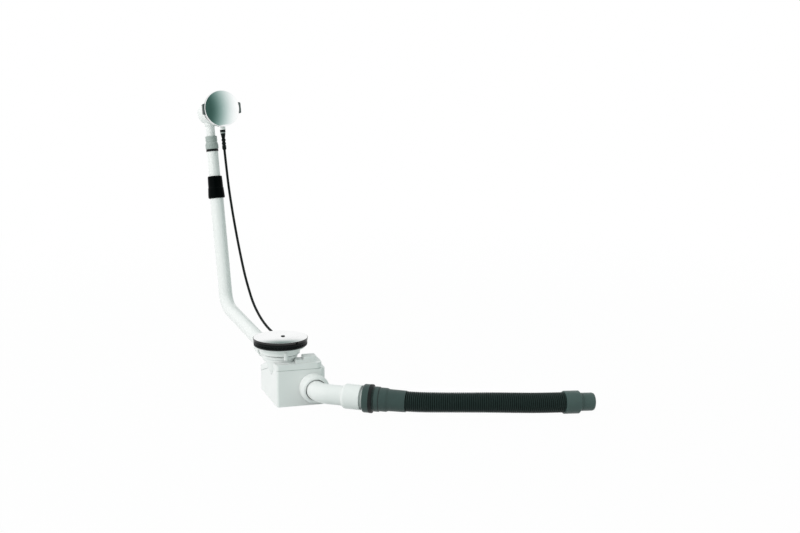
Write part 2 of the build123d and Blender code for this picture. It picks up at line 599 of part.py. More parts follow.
# Riser pieces, measured down from the knob axis
sleeve_r = PIPE_R + 2.4
save("pipe_sleeve", turned(
    (PIPE_R + 0.35, SLEEVE_END), (sleeve_r - 0.4, SLEEVE_END), (sleeve_r + 1.2, SLEEVE_END + 2),
    (sleeve_r + 1.0, SLEEVE_END + 8), (sleeve_r, PIPE_TOP + 2), (sleeve_r - 0.7, PIPE_TOP + 3),
    (sleeve_r - 0.9, SLEEVE_TOP - 12), (UPPER_R + 3.4, SLEEVE_TOP - 2), (UPPER_R + 2.7, SLEEVE_TOP),
    (UPPER_R + 0.35, SLEEVE_TOP), (UPPER_R + 0.35, PIPE_TOP), (PIPE_R + 0.35, PIPE_TOP),
), HEAD)
save("upper_overflow_pipe", ring(UPPER_R, UPPER_R - UPPER_WALL, PIPE_TOP - 37, UPPER_TOP), HEAD)
save("nut_seal", ring(UPPER_R + 0.9, SPOUT_R + 0.5, UPPER_TOP, UPPER_TOP + NUT_SEAL), HEAD)
nut_end = UPPER_TOP + NUT_SEAL
coupling = turned(
    (SPOUT_R + FIT, NUT_TOP), (UPPER_R - 0.3, NUT_TOP), (UPPER_R + 0.5, NUT_TOP - 1),
    (UPPER_R + 0.5, NUT_TOP - 4), (UPPER_R - 0.1, NUT_TOP - 4.6), (UPPER_R - 0.1, NUT_TOP - 5.6),
    (UPPER_R + 0.5, NUT_TOP - 6.2), (UPPER_R + 0.5, NUT_TOP - 11), (UPPER_R - 0.2, NUT_TOP - 12),
    (UPPER_R - 0.2, NUT_TOP - 13.6), (UPPER_R + 0.9, NUT_TOP - 15), (UPPER_R + 1.3, NUT_TOP - 18),
    (UPPER_R + 1.3, nut_end + 1), (UPPER_R + 0.5, nut_end), (SPOUT_R + FIT, nut_end),
)
coupling += around(Pos(UPPER_R + 0.9, 0, 0) * rod(0.8, nut_end + 1.5, NUT_TOP - 18.5), 24)
save("coupling_nut", coupling, HEAD)

# Overflow body: round chamber behind the bath wall, spout below, cable boss at its side
gland_y = -(DRUM_BACK + DRUM_W / 2)
inside = CHAMBER_R - CHAMBER_WALL
overflow = FRONT * turned(
    (0, CHAMBER_BACK), (CHAMBER_R - 7, CHAMBER_BACK), (CHAMBER_R - 2, CHAMBER_BACK + 3),
    (CHAMBER_R, CHAMBER_BACK + 8), (CHAMBER_R, HEAD_FACE - 5), (HEAD_R, HEAD_FACE - 5),
    (HEAD_R, HEAD_FACE), (0, HEAD_FACE),
)
spout_low = UPPER_TOP - 15
overflow += HEAD * turned(
    (0, 0), (SPOUT_R + 2.4, 0), (SPOUT_R + 2.4, -26), (SPOUT_R, -32), (SPOUT_R, spout_low), (0, spout_low)
)
boss = HEAD * Pos(GLAND_X, gland_y, 0)
boss_r = GLAND_R + 0.4
overflow += boss * (rod(boss_r, GLAND_END, -6) + block((-10, boss_r), (-GLAND_R, boss_r), (-22, -6)))
overflow -= FRONT * turned(
    (0, CHAMBER_BACK + 3), (inside - 5.4, CHAMBER_BACK + 3), (inside - 1.4, CHAMBER_BACK + 5.4),
    (inside, CHAMBER_BACK + 9), (inside, HEAD_FACE + 1), (0, HEAD_FACE + 1),
)
overflow -= HEAD * rod(SPOUT_R - SPOUT_WALL, spout_low - 5, 0)
overflow -= boss * (rod(SHEATH_BORE, GLAND_END - 9, 2))
head_angles = (0, 180)
screw_hole = Pos(HEAD_SCREW, 0, 0) * rod(1.9, HEAD_FACE - 11, HEAD_FACE + 3)
overflow -= [FRONT * h for h in at_angles(screw_hole, head_angles)]
spindle_back = SPINDLE_R - 3.9
overflow += FRONT * ring(spindle_back + 3, spindle_back + SLIP, CHAMBER_BACK + 2.6, CHAMBER_BACK + 11)
save("overflow_body", overflow)

face_at = HEAD_FACE + HEAD_GASKET
gasket_ring = turned(
    (inside + 1, HEAD_FACE), (FLANGE_R - 1.6, HEAD_FACE), (FLANGE_R - 1, HEAD_FACE + 1),
    (FLANGE_R - 1, face_at - 1), (FLANGE_R - 1.6, face_at), (inside + 1, face_at),
)
gasket_ring -= at_angles(Pos(HEAD_SCREW, 0, 0) * rod(2.6, HEAD_FACE - 5, face_at + 5), head_angles)
save("overflow_gasket", gasket_ring, FRONT)

# Front flange in the bath: water slots behind the knob, bearing for the spindle
bearing = SPINDLE_R + SLIP
face_top = face_at + 15
face = turned(
    (bearing, face_at), (FLANGE_R - 0.6, face_at), (FLANGE_R, face_at + 1), (FLANGE_R - 0.4, face_at + 4),
    (FLANGE_R - 3.6, face_at + 7), (SPINDLE_R + 8, face_at + 9), (SPINDLE_R + 6, face_top),
    (bearing, face_top),
)
slot = block((SPINDLE_R + 9.6, HEAD_SCREW + 2), (-2.5, 2.5), (HEAD_FACE, face_top + 1))
face -= at_angles(slot, (35, 65, 90, 115, 145, 215, 245, 270, 295, 325))
head_low = face_at + 4.5
head_room = rod(2.2, HEAD_FACE, face_top + 1) + rod(4.2, head_low, face_top + 1)
face -= at_angles(Pos(HEAD_SCREW, 0, 0) * head_room, head_angles)
save("overflow_flange", face, FRONT)
head_screw = rod(3.8, head_low, head_low + 2.1) + rod(1.7, HEAD_FACE - 9, head_low)
head_screw -= cross_slot(2.7, 0.9, head_low + 2.1, 1.0)
head_screw = Pos(HEAD_SCREW, 0, 0) * head_screw
save("overflow_screws", Compound(children=at_angles(head_screw, head_angles)), FRONT)

# Spindle and cable drum, which turn with the knob
drum_front = DRUM_BACK + DRUM_W
square = SPINDLE_R * 0.53
hub_back = face_top + 4
spindle = rod(spindle_back, CHAMBER_BACK + 6, DRUM_BACK - 3)
spindle += rod(SPINDLE_R - 2.9, DRUM_BACK - 3, drum_front)
spindle += rod(SPINDLE_R, drum_front, hub_back - 1)
spindle += block((-square, square), (-square, square), (hub_back - 1, hub_back + 11))
save("knob_spindle", spindle, FRONT)
drum_in, drum_out = SPINDLE_R - 2.8, DRUM_R + 2.4
drum = turned(
    (drum_in, DRUM_BACK), (drum_out, DRUM_BACK), (drum_out, DRUM_BACK + 2.5),
    (DRUM_R - 1, DRUM_BACK + DRUM_W / 2 - 1), (DRUM_R - 1, DRUM_BACK + DRUM_W / 2 + 1),
    (drum_out, drum_front - 2.5), (drum_out, drum_front), (drum_in, drum_front),
)
drum -= Rot(0, 0, 70) * Pos(DRUM_R - 2, 0, 0) * rod(2.6, DRUM_BACK + 4, drum_front + 4)
drum_hole = Pos((DRUM_R + drum_in) / 2 - 1, 0, 0) * rod(3.0, DRUM_BACK - 3, drum_front + 4)
drum -= at_angles(drum_hole, (10, 130, 250))
save("cable_drum", drum, FRONT)

# Knob: shallow dome with two finger lugs
inner = KNOB_R - 2.2
web = KNOB_FRONT - 6
knob = domed(
    KNOB_FRONT + KNOB_DOME, (0, web), (12, web), (KNOB_R - 9.5, web + 1), (inner, web - 1), (inner, KNOB_BACK),
    (KNOB_R - 0.8, KNOB_BACK), (KNOB_R, KNOB_BACK + 1), (KNOB_R, KNOB_FRONT - 1.4),
    (KNOB_R - 1, KNOB_FRONT),
)
lug = block((inner, KNOB_R + LUG_OUT), (-LUG_W / 2, LUG_W / 2), (KNOB_BACK + 1.4, KNOB_FRONT - 1.6))
lug = fillet(lug.edges().filter_by(Axis.Z).group_by(Axis.X)[-1], 3.0)
lug -= rod(KNOB_R - 1, KNOB_BACK - 1, KNOB_FRONT + 1)
knob += at_angles(lug, (0, 180))
knob += rod(SPINDLE_R + 3.1, hub_back, web + 0.5)
keyway = square + 0.1
knob -= block((-keyway, keyway), (-keyway, keyway), (hub_back - 2, hub_back + 11.2))
save("control_knob", knob, FRONT)

# Cable: gland with its strain relief at the head, sheath, wire, gland at the waste
GLAND = HEAD * Pos(GLAND_X, gland_y, GLAND_END)
hold = SHEATH_R + 0.3
boot = GLAND_R - 2
outline = [
    (SHEATH_BORE, 0), (GLAND_R, 0), (GLAND_R, -5.2), (boot - 0.1, -5.4), (boot - 0.1, -8),
    (boot + 1.5, -8.2), (boot - 0.4, -18.5),
]
for low in (-26.0, -33.5):
    outline += [(boot - 0.5, low + 6.5), (boot + 0.6, low + 5), (boot + 0.6, low + 2), (boot - 0.5, low + 0.5)]
outline += [(boot + 0.6, -35), (boot + 0.6, -42), (boot - 0.5, -44), (hold, -44)]
outline += [(hold, -GLAND_HOLD), (SHEATH_BORE, -GLAND_HOLD)]
save("cable_gland", turned(*outline), GLAND)
save("gland_ring", ring(GLAND_R - 0.4, boot + 0.2, -7.8, -5.6), GLAND)
sheath_end = boss_end + 7
save("waste_gland", turned(
    (SHEATH_BORE, gland_in), (SHEATH_R + 0.15, gland_in), (SHEATH_R + 0.15, boss_end), (GLAND_R, boss_end),
    (GLAND_R, boss_end + 5), (boot + 0.6, boss_end + 5.4), (boot, boss_end + 11),
    (boot - 0.5, boss_end + 19), (hold, boss_end + 19), (hold, sheath_end), (SHEATH_BORE, sheath_end),
), WASTE_CABLE)

cable_top = (GLAND * Pos(0, 0, -GLAND_HOLD)).position
cable_low = (GLAND * Pos(0, 0, -GLAND_HOLD - GLAND_STRAIGHT)).position
cable_in = (WASTE_CABLE * Pos(0, 0, sheath_end + CABLE_STRAIGHT)).position
cable_end = (WASTE_CABLE * Pos(0, 0, sheath_end)).position
points = [tuple(cable_top), tuple(cable_low), *CABLE_ROUTE, tuple(cable_in), tuple(cable_end)]
cable_line = route("cable sheath", points)
save("cable_sheath", along(cable_line, SHEATH_R) - along(cable_line, SHEATH_BORE))
wire_top = (GLAND * Pos(0, 0, 3)).position
wire_low = (WASTE_CABLE * Pos(0, 0, gland_in)).position
wire_line = Wire([Line(wire_top, cable_top), *cable_line.edges(), Line(cable_end, wire_low)])
save("pull_wire", along(wire_line, WIRE_R))

print("plug lift", round(PLUG_LIFT, 3), "lever swing", round(LEVER_SWING, 3), "knob turn", KNOB_TURN)
print("hose end", [round(v, 3) for v in hose_line @ 1], "towards", [round(v, 5) for v in hose_line % 1])
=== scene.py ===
"""Bath waste and overflow: finishes, drain hose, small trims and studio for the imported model."""

import logging
import math
from bisect import bisect_right
from dataclasses import dataclass, field
from enum import Enum
from typing import Dict, List, Optional, Sequence, Tuple, Union

import bmesh
import bpy
from mathutils import Matrix, Vector


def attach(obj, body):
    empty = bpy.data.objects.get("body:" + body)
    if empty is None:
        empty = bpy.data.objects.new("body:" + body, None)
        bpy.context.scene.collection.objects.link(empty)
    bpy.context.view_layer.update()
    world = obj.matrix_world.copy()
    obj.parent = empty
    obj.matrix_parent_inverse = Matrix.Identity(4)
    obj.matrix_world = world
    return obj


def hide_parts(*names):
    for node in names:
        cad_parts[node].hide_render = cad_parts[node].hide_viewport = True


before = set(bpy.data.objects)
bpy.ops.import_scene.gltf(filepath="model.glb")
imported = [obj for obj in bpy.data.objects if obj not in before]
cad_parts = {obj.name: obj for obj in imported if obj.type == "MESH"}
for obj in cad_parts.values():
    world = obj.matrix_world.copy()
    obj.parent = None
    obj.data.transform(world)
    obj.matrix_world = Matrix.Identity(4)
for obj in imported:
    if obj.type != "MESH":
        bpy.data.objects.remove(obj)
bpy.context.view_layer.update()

LOG = logging.getLogger("bath_waste")

Span = Tuple[float, float]
Colour = Tuple[float, float, float]
Point = Tuple[float, float, float]
Value = Union[float, Sequence[float], "Signal"]
Key = Union[int, str]
Sockets = Dict[Key, Value]

PURE_WHITE: Colour = (1.0, 1.0, 1.0)
ORIGIN: Point = (0.0, 0.0, 0.0)
UPRIGHT: Point = (0.0, 0.0, 1.0)
MERGE_GAP = 1e-6
ORDER_DIGITS = 6
GROOVE = "groove"

# A Mix node's sockets for colours
MIX_FIRST, MIX_SECOND, MIX_RESULT = 6, 7, 2


class Body(Enum):
    """The bodies that the scene's own pieces ride on."""

    FIXED = "fixed"
    PLUG = "plug"


class Axis(Enum):
    """The numbers of a vector that the shaders read, by their place in it."""

    X = 0
    Z = 2


class Ray(Enum):
    """The rays that are shown the white background, by the Light Path node's outputs."""

    CAMERA = "Is Camera Ray"
    GLOSSY = "Is Glossy Ray"
    TRANSMISSION = "Is Transmission Ray"


# Shader expressions


@dataclass(frozen=True)
class Noise:
    """A soft noise: features per metre, number of finer layers, and how strong these are."""

    scale: float
    detail: float
    rough: float


class Signal:
    """A shader value that takes part in Python expressions."""

    def __init__(self, bench: "Bench", socket: Optional[bpy.types.NodeSocket]) -> None:
        """Keeps the socket and the bench that its nodes go on."""
        self.bench = bench
        self.socket = socket

    def _math(self, operation: str, first: Value, second: Value) -> "Signal":
        """Adds one Math node."""
        return self.bench.node("ShaderNodeMath", {"operation": operation}, {0: first, 1: second})

    def __add__(self, other: Value) -> "Signal":
        """Sum."""
        return self._math("ADD", self, other)

    def __radd__(self, other: Value) -> "Signal":
        """Sum with a number on the left."""
        return self._math("ADD", other, self)

    def __sub__(self, other: Value) -> "Signal":
        """Difference."""
        return self._math("SUBTRACT", self, other)

    def __rsub__(self, other: Value) -> "Signal":
        """Difference from a number on the left."""
        return self._math("SUBTRACT", other, self)

    def __mul__(self, other: Value) -> "Signal":
        """Product."""
        return self._math("MULTIPLY", self, other)

    def __rmul__(self, other: Value) -> "Signal":
        """Product with a number on the left."""
        return self._math("MULTIPLY", other, self)

    def __truediv__(self, other: Value) -> "Signal":
        """Quotient."""
        return self._math("DIVIDE", self, other)

    def __rtruediv__(self, other: Value) -> "Signal":
        """Quotient with a number on the left."""
        return self._math("DIVIDE", other, self)

    def __abs__(self) -> "Signal":
        """Size without sign."""
        return self._math("ABSOLUTE", self, 0.0)

    def above(self, other: Value) -> "Signal":
        """The larger of two values."""
        return self._math("MAXIMUM", self, other)

    def power(self, exponent: float) -> "Signal":
        """This value raised to a power."""
        return self._math("POWER", self, exponent)

    def sine(self) -> "Signal":
        """Sine of an angle in radians."""
        return self._math("SINE", self, 0.0)

    def blend(self, other: "Signal", share: float) -> "Signal":
        """This value by its share, plus another by the rest."""
        return self * share + other * (1.0 - share)

    def swing(self, reach: float) -> "Signal":
        """A value from 0 to 1 as a swing about 0, half its reach to either side."""
        return (self - 0.5) * reach

    def ease(self, low: float, high: float, start: float = 0.0, end: float = 1.0) -> "Signal":
        """A smooth step.

        Args:
            low: Value at which the step starts.
            high: Value at which it ends.
            start: Result at and below low.
            end: Result at and above high.

        Returns:
            The stepped value.
        """
        settings = {"interpolation_type": "SMOOTHSTEP"}
        return self.bench.node("ShaderNodeMapRange", settings, {0: self, 1: low, 2: high, 3: start, 4: end})


def with_alpha(colour: Value) -> Value:
    """A colour with its fourth number."""
    return colour if isinstance(colour, Signal) else (*colour, 1.0)


def darker(colour: Colour, share: float) -> Colour:
    """A colour brought down to a share of itself."""
    return tuple(number * share for number in colour)


class Bench:
    """The place where one node tree is put together."""

    def __init__(self, tree: bpy.types.NodeTree) -> None:
        """Clears the tree."""
        self.tree = tree
        tree.nodes.clear()

    def node(self, kind: str, settings: Dict[str, object], sockets: Sockets, output: Key = 0) -> Signal:
        """Adds one node.

        Args:
            kind: The node's type name.
            settings: Its properties, set before its sockets.
            sockets: The value or the link of each input, by index or name.
            output: The output to hand back.

        Returns:
            The chosen output, or an empty signal where the node ends a tree.
        """
        made = self.tree.nodes.new(kind)
        for name, value in settings.items():
            setattr(made, name, value)
        for key, value in sockets.items():
            if isinstance(value, Signal):
                self.tree.links.new(value.socket, made.inputs[key])
            else:
                made.inputs[key].default_value = value
        return Signal(self, made.outputs[output] if len(made.outputs) else None)

    def _vector(self, operation: str, first: Signal, second: Value, output: Key = 0) -> Signal:
        """Adds one Vector Math node."""
        return self.node("ShaderNodeVectorMath", {"operation": operation}, {0: first, 1: second}, output)

    def place(self) -> Signal:
        """Position on the piece, in metres."""
        return self.node("ShaderNodeTexCoord", {}, {}, "Object")

    def part(self, vector: Signal, axis: Axis) -> Signal:
        """One number of a vector."""
        return self.node("ShaderNodeSeparateXYZ", {}, {0: vector}, axis.value)

    def moved(self, vector: Signal, start: Point) -> Signal:
        """A position measured from a place on the piece."""
        return self.node("ShaderNodeMapping", {"vector_type": "TEXTURE"}, {"Vector": vector, "Location": start})

    def along(self, vector: Signal, direction: Point) -> Signal:
        """How far a position lies along a direction."""
        return self._vector("DOT_PRODUCT", vector, direction, "Value")

    def length(self, vector: Signal) -> Signal:
        """Length of a vector."""
        return self._vector("LENGTH", vector, ORIGIN, "Value")

    def off_axis(self, vector: Signal, axis: Point) -> Signal:
        """How far a position lies from an axis through the origin."""
        return self.length(self._vector("CROSS_PRODUCT", vector, axis))

    def scaled(self, vector: Signal, factors: Point) -> Signal:
        """A vector multiplied number by number."""
        return self._vector("MULTIPLY", vector, factors)

    def noise(self, vector: Signal, look: Noise) -> Signal:
        """Soft noise from 0 to 1, read at a position."""
        sockets = {"Vector": vector, "Scale": look.scale, "Detail": look.detail, "Roughness": look.rough}
        return self.node("ShaderNodeTexNoise", {}, sockets)

    def mix(self, share: Value, first: Value, second: Value) -> Signal:
        """A colour between two colours."""
        sockets = {0: share, MIX_FIRST: with_alpha(first), MIX_SECOND: with_alpha(second)}
        return self.node("ShaderNodeMix", {"data_type": "RGBA"}, sockets, MIX_RESULT)

    def bump(self, height: Signal, depth: float) -> Signal:
        """A normal from a height between 0 and 1, whose full depth is in metres."""
        sockets = {"Strength": 1.0, "Distance": depth, "Height": height}
        return self.node("ShaderNodeBump", {}, sockets, "Normal")

    def emission(self, colour: Value) -> Signal:
        """A plain emission, at a strength where white is white."""
        return self.node("ShaderNodeEmission", {}, {"Color": with_alpha(colour), "Strength": 1.0})

    def principled(self, sockets: Sockets) -> Signal:
        """A principled surface."""
        return self.node("ShaderNodeBsdfPrincipled", {}, sockets)

    def end(self, shader: Signal) -> None:
        """Ends a material's tree in a shader."""
        self.node("ShaderNodeOutputMaterial", {}, {"Surface": shader})


def new_bench(name: str) -> Tuple[bpy.types.Material, Bench]:
    """Starts a material.

    Args:
        name: The material's name.

    Returns:
        The material and the bench for its nodes.
    """
    material = bpy.data.materials.new(name)
    material.use_nodes = True
    return material, Bench(material.node_tree)


# Finishes


@dataclass(frozen=True)
class PartingLine:
    """The fine ridge where the halves of a mould met, square to an axis."""

    axis: Axis
    level: float
    core: float = 0.00015
    edge: float = 0.0004
    height: float = 2.5

    def ridge(self, bench: Bench, place: Signal) -> Signal:
        """The ridge's height over the surface."""
        off = abs(bench.part(place, self.axis) - self.level)
        return off.ease(self.core, self.edge, 1.0, 0.0) * self.height


@dataclass(frozen=True)
class PaintedGrooveShade:
    """Painted shade in narrow lines round a piece, where its grooves are, each so far along the piece's direction from
    a start.
    """

    start: Point
    way: Point
    places: Tuple[float, ...]
    core: float = 0.0004
    edge: float = 0.0013
    cover: float = 0.75
    darkness: float = 0.2

    def over(self, bench: Bench, place: Signal, colour: Signal, shade: Colour) -> Signal:
        """Lays the painted shade lines over a colour.

        Args:
            bench: Where the nodes go.
            place: The position on the piece.
            colour: The clean colour.
            shade: The colour that the painted groove shade is a darker form of.

        Returns:
            The colour with its lines.
        """
        reach = bench.along(bench.moved(place, self.start), self.way)
        for line in self.places:
            # painted shade: the colour darkens along each groove line
            painted_groove_shade = abs(reach - line).ease(self.core, self.edge, self.cover, 0.0)
            colour = bench.mix(painted_groove_shade, colour, darker(shade, self.darkness))
        return colour


@dataclass(frozen=True)
class PaintedRimReflection:
    """A painted dark reflection on the rim, beyond a radius about a piece's axis."""

    middle: Point
    axis: Point
    radius: float
    share: float
    fade: float = 0.0004

    def over(self, bench: Bench, place: Signal, colour: Signal, bright: Colour) -> Signal:
        """Lays the painted dark rim reflection over a colour.

        Args:
            bench: Where the nodes go.
            place: The position on the piece.
            colour: The colour inside the radius.
            bright: The colour that the painted rim reflection is a darker form of.

        Returns:
            The colour with its edge.
        """
        out = bench.off_axis(bench.moved(place, self.middle), self.axis)
        return bench.mix(out.ease(self.radius, self.radius + self.fade), colour, darker(bright, self.share))


@dataclass(frozen=True)
class MouldedPlastic:
    """Injection-moulded plastic: faint clouding, spark-eroded grain, and a parting line or painted shade in grooves
    where they show.
    """

    name: str
    colour: Colour
    shade: Colour
    roughness: float
    grain_depth: float = 0.00004
    coat: float = 0.0
    gloss: float = 0.5
    parting: Optional[PartingLine] = None
    painted_groove_shade: Optional[PaintedGrooveShade] = None

    # The same on every moulding
    clouding: Noise = Noise(11.0, 3.0, 0.6)
    melt: Noise = Noise(60.0, 4.0, 0.55)
    melt_stretch: Point = (1.0, 1.0, 0.25)
    erosion: Noise = Noise(1500.0, 2.0, 0.6)
    cloud_share: float = 0.65
    tone_span: Span = (0.3, 0.72)
    grain_share: float = 0.8
    melt_swing: float = 0.16
    grain_swing: float = 0.08
    coat_roughness: float = 0.12
    ior: float = 1.49

    def material(self) -> bpy.types.Material:
        """Makes the material.

        Returns:
            The material.
        """
        material, bench = new_bench(self.name)
        place = bench.place()
        melt = bench.noise(bench.scaled(place, self.melt_stretch), self.melt)
        grain = bench.noise(place, self.erosion)
        tone = bench.noise(place, self.clouding).blend(melt, self.cloud_share).ease(*self.tone_span)
        colour = bench.mix(tone, self.shade, self.colour)
        height = grain.blend(melt, self.grain_share)
        if self.parting is not None:
            height = height + self.parting.ridge(bench, place)
        # painted shade in thin lines at the grooves
        if self.painted_groove_shade is not None:
            colour = self.painted_groove_shade.over(bench, place, colour, self.shade)
        sockets: Sockets = {
            "Base Color": colour,
            "Roughness": self.roughness + melt.swing(self.melt_swing) + grain.swing(self.grain_swing),
            "Normal": bench.bump(height, self.grain_depth),
            "IOR": self.ior,
            "Specular IOR Level": self.gloss,
        }
        if self.coat:
            sockets["Coat Weight"] = self.coat
            sockets["Coat Roughness"] = self.coat_roughness
        bench.end(bench.principled(sockets))
        return material


@dataclass(frozen=True)
class SoftRubber:
    """Moulded rubber: dull, finely pitted, with a thin pale bloom."""

    name: str
    colour: Colour
    bloom: Colour
    roughness: float
    gloss: float
    dust: Noise = Noise(45.0, 5.0, 0.65)
    pitting: Noise = Noise(2200.0, 2.0, 0.6)
    bloom_span: Span = (0.45, 0.78)
    bloom_dulling: float = 0.14
    pit_swing: float = 0.12
    pit_share: float = 0.7
    pit_depth: float = 0.00006
    ior: float = 1.52

    def material(self) -> bpy.types.Material:
        """Makes the material.

        Returns:
            The material.
        """
        material, bench = new_bench(self.name)
        place = bench.place()
        dust = bench.noise(place, self.dust)
        pits = bench.noise(place, self.pitting)
        bloom = dust.ease(*self.bloom_span)
        bench.end(bench.principled({
            "Base Color": bench.mix(bloom, self.colour, self.bloom),
            "Roughness": self.roughness + bloom * self.bloom_dulling + pits.swing(self.pit_swing),
            "Normal": bench.bump(pits.blend(dust, self.pit_share), self.pit_depth),
            "IOR": self.ior,
            "Specular IOR Level": self.gloss,
        }))
        return material


@dataclass(frozen=True)
class PlatedChrome:
    """Bright plating: a mirror with faint waviness and wiping marks, and a painted dark reflection on the rim where one
    is given.
    """

    name: str
    colour: Colour
    # edge: a painted dark reflection on the rim
    edge: Optional[PaintedRimReflection] = None
    roughness: float = 0.07
    waves: Noise = Noise(70.0, 2.0, 0.5)
    wiping: Noise = Noise(320.0, 4.0, 0.6)
    wipe_stretch: Point = (1.0, 0.2, 1.0)
    filming: Noise = Noise(24.0, 3.0, 0.6)
    film_span: Span = (0.42, 0.75)
    film_cover: float = 0.5
    film_tone: float = 0.93
    film_dulling: float = 0.05
    wipe_swing: float = 0.03
    wave_share: float = 0.8
    wave_depth: float = 0.00001

    def material(self) -> bpy.types.Material:
        """Makes the material.

        Returns:
            The material.
        """
        material, bench = new_bench(self.name)
        place = bench.place()
        wipes = bench.noise(bench.scaled(place, self.wipe_stretch), self.wiping)
        film = bench.noise(place, self.filming).ease(*self.film_span)
        colour = bench.mix(film * self.film_cover, self.colour, darker(self.colour, self.film_tone))
        # painted reflection: the rim is darkened beyond the radius
        if self.edge is not None:
            colour = self.edge.over(bench, place, colour, self.colour)
        bench.end(bench.principled({
            "Base Color": colour,
            "Metallic": 1.0,
            "Roughness": self.roughness + film * self.film_dulling + wipes.swing(self.wipe_swing),
            "Normal": bench.bump(bench.noise(place, self.waves).blend(wipes, self.wave_share), self.wave_depth),
        }))
        return material


@dataclass(frozen=True)
class TurnedSteel:
    """Steel with fine turning rings round the waste's axis."""

    name: str
    colour: Colour
    roughness: float = 0.28
    ring_rate: float = 9000.0
    ring_wander: Noise = Noise(300.0, 2.0, 0.5)
    wander_reach: float = 3.0
    staining: Noise = Noise(55.0, 4.0, 0.6)
    stain_span: Span = (0.4, 0.75)
    stain_cover: float = 0.6
    stain_tone: float = 0.78
    stain_dulling: float = 0.1
    ring_dulling: float = 0.06
    ring_depth: float = 0.00001

    def material(self) -> bpy.types.Material:
        """Makes the material.

        Returns:
            The material.
        """
        material, bench = new_bench(self.name)
        place = bench.place()
        wander = bench.noise(place, self.ring_wander) * self.wander_reach
        rings = (bench.off_axis(place, UPRIGHT) * self.ring_rate + wander).sine() * 0.5 + 0.5
        stain = bench.noise(place, self.staining).ease(*self.stain_span)
        bench.end(bench.principled({
            "Base Color": bench.mix(stain * self.stain_cover, self.colour, darker(self.colour, self.stain_tone)),
            "Metallic": 1.0,
            "Roughness": self.roughness + stain * self.stain_dulling + rings * self.ring_dulling,
            "Normal": bench.bump(rings, self.ring_depth),
        }))
        return material


@dataclass(frozen=True)
class HoseSkin:
    """Blown hose plastic: near black, with a painted sheen on the rib crests and painted shade between the ribs, and
    faint dusty streaks.
    """

    name: str
    # colour is the painted sheen on the rib crests, shade the painted shade in the grooves
    colour: Colour
    shade: Colour
    dust: Colour
    roughness: float = 0.42
    gloss: float = 0.1
    streaking: Noise = Noise(130.0, 4.0, 0.6)
    graining: Noise = Noise(1700.0, 2.0, 0.6)
    streak_span: Span = (0.5, 0.8)
    streak_cover: float = 0.35
    groove_dulling: float = 0.14
    streak_swing: float = 0.14
    grain_share: float = 0.6
    grain_depth: float = 0.00008
    ior: float = 1.5

    def material(self) -> bpy.types.Material:
        """Makes the material, which reads the hose's groove attribute.

        Returns:
            The material.
        """
        material, bench = new_bench(self.name)
        place = bench.place()
        groove = bench.node("ShaderNodeAttribute", {"attribute_name": GROOVE}, {}, "Fac")
        streak = bench.noise(place, self.streaking)
        grain = bench.noise(place, self.graining)
        # painted highlight on the crests and painted shade in the grooves, from the groove attribute
        painted_rib_light = bench.mix(groove, self.colour, self.shade)
        bench.end(bench.principled({
            "Base Color": bench.mix(streak.ease(*self.streak_span) * self.streak_cover, painted_rib_light, self.dust),
            "Roughness": self.roughness + groove * self.groove_dulling + streak.swing(self.streak_swing),
            "Normal": bench.bump(grain.blend(streak, self.grain_share), self.grain_depth),
            "IOR": self.ior,
            "Specular IOR Level": self.gloss,
        }))
        return material


Finish = Union[MouldedPlastic, SoftRubber, PlatedChrome, TurnedSteel, HoseSkin]

WHITE: Colour = (0.845, 0.855, 0.85)
WHITE_SHADE: Colour = (0.825, 0.838, 0.832)
PLATING: Colour = (0.92, 0.93, 0.93)
SOCKET_MOUTH: Point = (0.15505, -0.20394, -0.09055)

WHITE_PLASTIC = MouldedPlastic(
    "white_plastic", WHITE, WHITE_SHADE, roughness=0.36, grain_depth=0.000015, coat=0.15
)
WHITE_PIPE = MouldedPlastic(
    "white_pipe", (0.86, 0.865, 0.86), (0.845, 0.852, 0.848), roughness=0.30, grain_depth=0.00001, coat=0.25
)
PARTED_WHITE = MouldedPlastic(
    "white_elbow", WHITE, WHITE_SHADE, roughness=0.34, grain_depth=0.000015, coat=0.15,
    parting=PartingLine(Axis.Z, level=-0.0872),
)
# the socket's grooves get painted shade lines
SOCKET_GREY = MouldedPlastic(
    "socket_grey_plastic", (0.042, 0.073, 0.068), (0.034, 0.060, 0.056), roughness=0.38, grain_depth=0.00005,
    gloss=0.28, painted_groove_shade=PaintedGrooveShade(SOCKET_MOUTH, way=(0.7982, -0.6018, -0.0275), places=(-0.0362, -0.0252)),
)
END_GREY = MouldedPlastic(
    "end_grey_plastic", (0.060, 0.102, 0.095), (0.050, 0.087, 0.081), roughness=0.40, grain_depth=0.00005, gloss=0.36
)
BLACK_PLASTIC = MouldedPlastic(
    "black_plastic", (0.004, 0.0075, 0.0065), (0.0025, 0.005, 0.0045), roughness=0.38, gloss=0.13
)
LIGHT_PLASTIC = MouldedPlastic(
    "light_grey_plastic", (0.40, 0.45, 0.43), (0.35, 0.40, 0.38), roughness=0.38, grain_depth=0.00002
)
GASKET_RUBBER = SoftRubber(
    "gasket_rubber", (0.0025, 0.0045, 0.0045), (0.005, 0.008, 0.0075), roughness=0.28, gloss=0.11
)
BLACK_RUBBER = SoftRubber(
    "black_rubber", (0.0035, 0.005, 0.005), (0.009, 0.012, 0.0115), roughness=0.5, gloss=0.2
)
GLOSSY_RUBBER = SoftRubber(
    "glossy_rubber", (0.001, 0.002, 0.002), (0.003, 0.004, 0.004), roughness=0.3, gloss=0.025
)
# the cover's rim gets a painted dark reflection
CHROME = PlatedChrome("chrome", PLATING, PaintedRimReflection(ORIGIN, UPRIGHT, radius=0.0549, share=0.05))
# the knob's rim gets a painted dark reflection
KNOB_CHROME = PlatedChrome(
    "knob_chrome", PLATING, PaintedRimReflection((0.0, 0.4101, 0.4295), (0.0, -0.97815, 0.20791), radius=0.0393, share=0.22)
)
STEEL = TurnedSteel("steel", (0.6, 0.61, 0.61))
